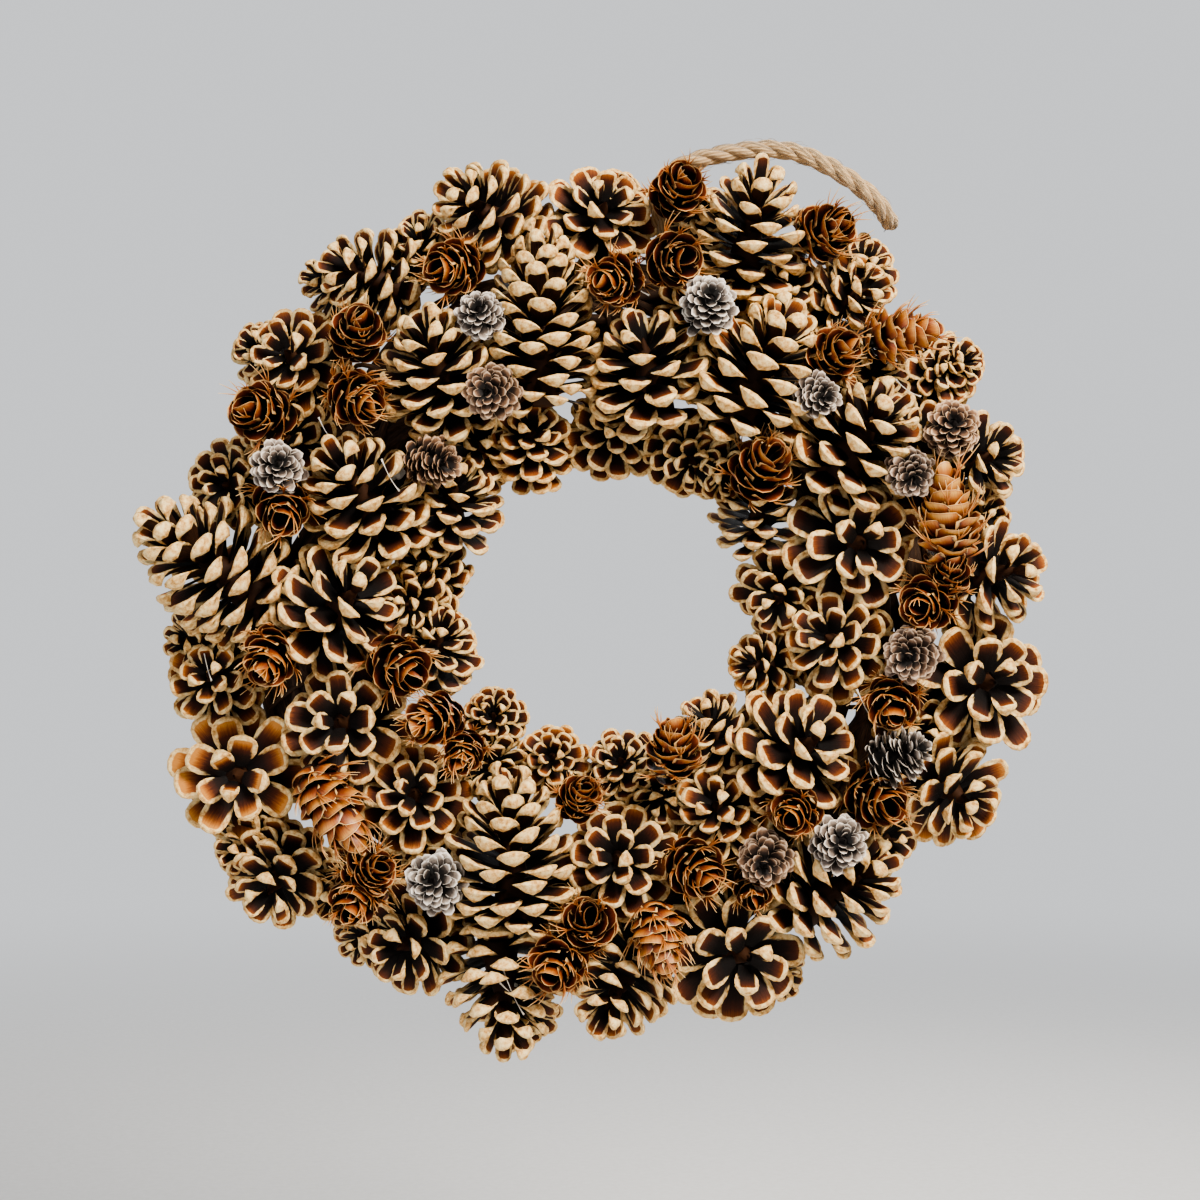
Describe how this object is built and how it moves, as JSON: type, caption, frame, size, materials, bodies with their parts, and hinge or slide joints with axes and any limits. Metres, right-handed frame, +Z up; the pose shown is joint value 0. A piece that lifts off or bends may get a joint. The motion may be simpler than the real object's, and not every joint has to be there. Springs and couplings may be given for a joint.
{
  "type": "pinecone wreath",
  "caption": "Round hanging wreath of open pine cones, fir cones and larch cones glued to a vine ring, with a jute rope loop at the top.",
  "frame": {"origin": "where the wall's hook carries the base ring: the ring's inner edge, at the top of its flat back", "axes": "+Z up, the wreath in the XZ plane, -Y its face, +Y its back, towards the wall"},
  "size_m": [0.3465, 0.0634, 0.3565],
  "materials": {
    "pine_cone": "dry open cone scales, dark inside, with cream tips",
    "fir_cone": "thin red-brown papery scales with pale bracts",
    "larch_cone": "weathered grey-brown thin scales",
    "vine_ring": "wound dark vine twigs with bark",
    "jute_rope": "three-strand twisted natural jute",
    "hot_glue": "clear to milky hot-melt glue dabs and threads"
  },
  "bodies": {
    "root": {"base_ring": "vine_ring", "hanging_rope": "jute_rope", "pine_cone_01": "pine_cone", "pine_cone_02": "pine_cone", "pine_cone_03": "pine_cone", "pine_cone_04": "pine_cone", "pine_cone_05": "pine_cone", "pine_cone_06": "pine_cone", "pine_cone_07": "pine_cone", "pine_cone_08": "pine_cone", "pine_cone_09": "pine_cone", "pine_cone_10": "pine_cone", "pine_cone_11": "pine_cone", "pine_cone_12": "pine_cone", "pine_cone_13": "pine_cone", "pine_cone_14": "pine_cone", "pine_cone_15": "pine_cone", "pine_cone_16": "pine_cone", "pine_cone_17": "pine_cone", "pine_cone_18": "pine_cone", "pine_cone_19": "pine_cone", "pine_cone_20": "pine_cone", "pine_cone_21": "pine_cone", "pine_cone_22": "pine_cone", "pine_cone_23": "pine_cone", "pine_cone_24": "pine_cone", "pine_cone_25": "pine_cone", "pine_cone_26": "pine_cone", "pine_cone_27": "pine_cone", "pine_cone_28": "pine_cone", "pine_cone_29": "pine_cone", "pine_cone_30": "pine_cone", "pine_cone_31": "pine_cone", "pine_cone_32": "pine_cone", "pine_cone_33": "pine_cone", "pine_cone_34": "pine_cone", "pine_cone_35": "pine_cone", "pine_cone_36": "pine_cone", "pine_cone_37": "pine_cone", "pine_cone_38": "pine_cone", "pine_cone_39": "pine_cone", "pine_cone_40": "pine_cone", "pine_cone_41": "pine_cone", "pine_cone_42": "pine_cone", "pine_cone_43": "pine_cone", "pine_cone_44": "pine_cone", "pine_cone_45": "pine_cone", "pine_cone_46": "pine_cone", "pine_cone_47": "pine_cone", "pine_cone_48": "pine_cone", "pine_cone_49": "pine_cone", "fir_cone_01": "fir_cone", "fir_cone_02": "fir_cone", "fir_cone_03": "fir_cone", "fir_cone_04": "fir_cone", "fir_cone_05": "fir_cone", "fir_cone_06": "fir_cone", "larch_cone_01": "larch_cone", "larch_cone_02": "larch_cone", "larch_cone_03": "larch_cone"}
  },
  "joints": []
}
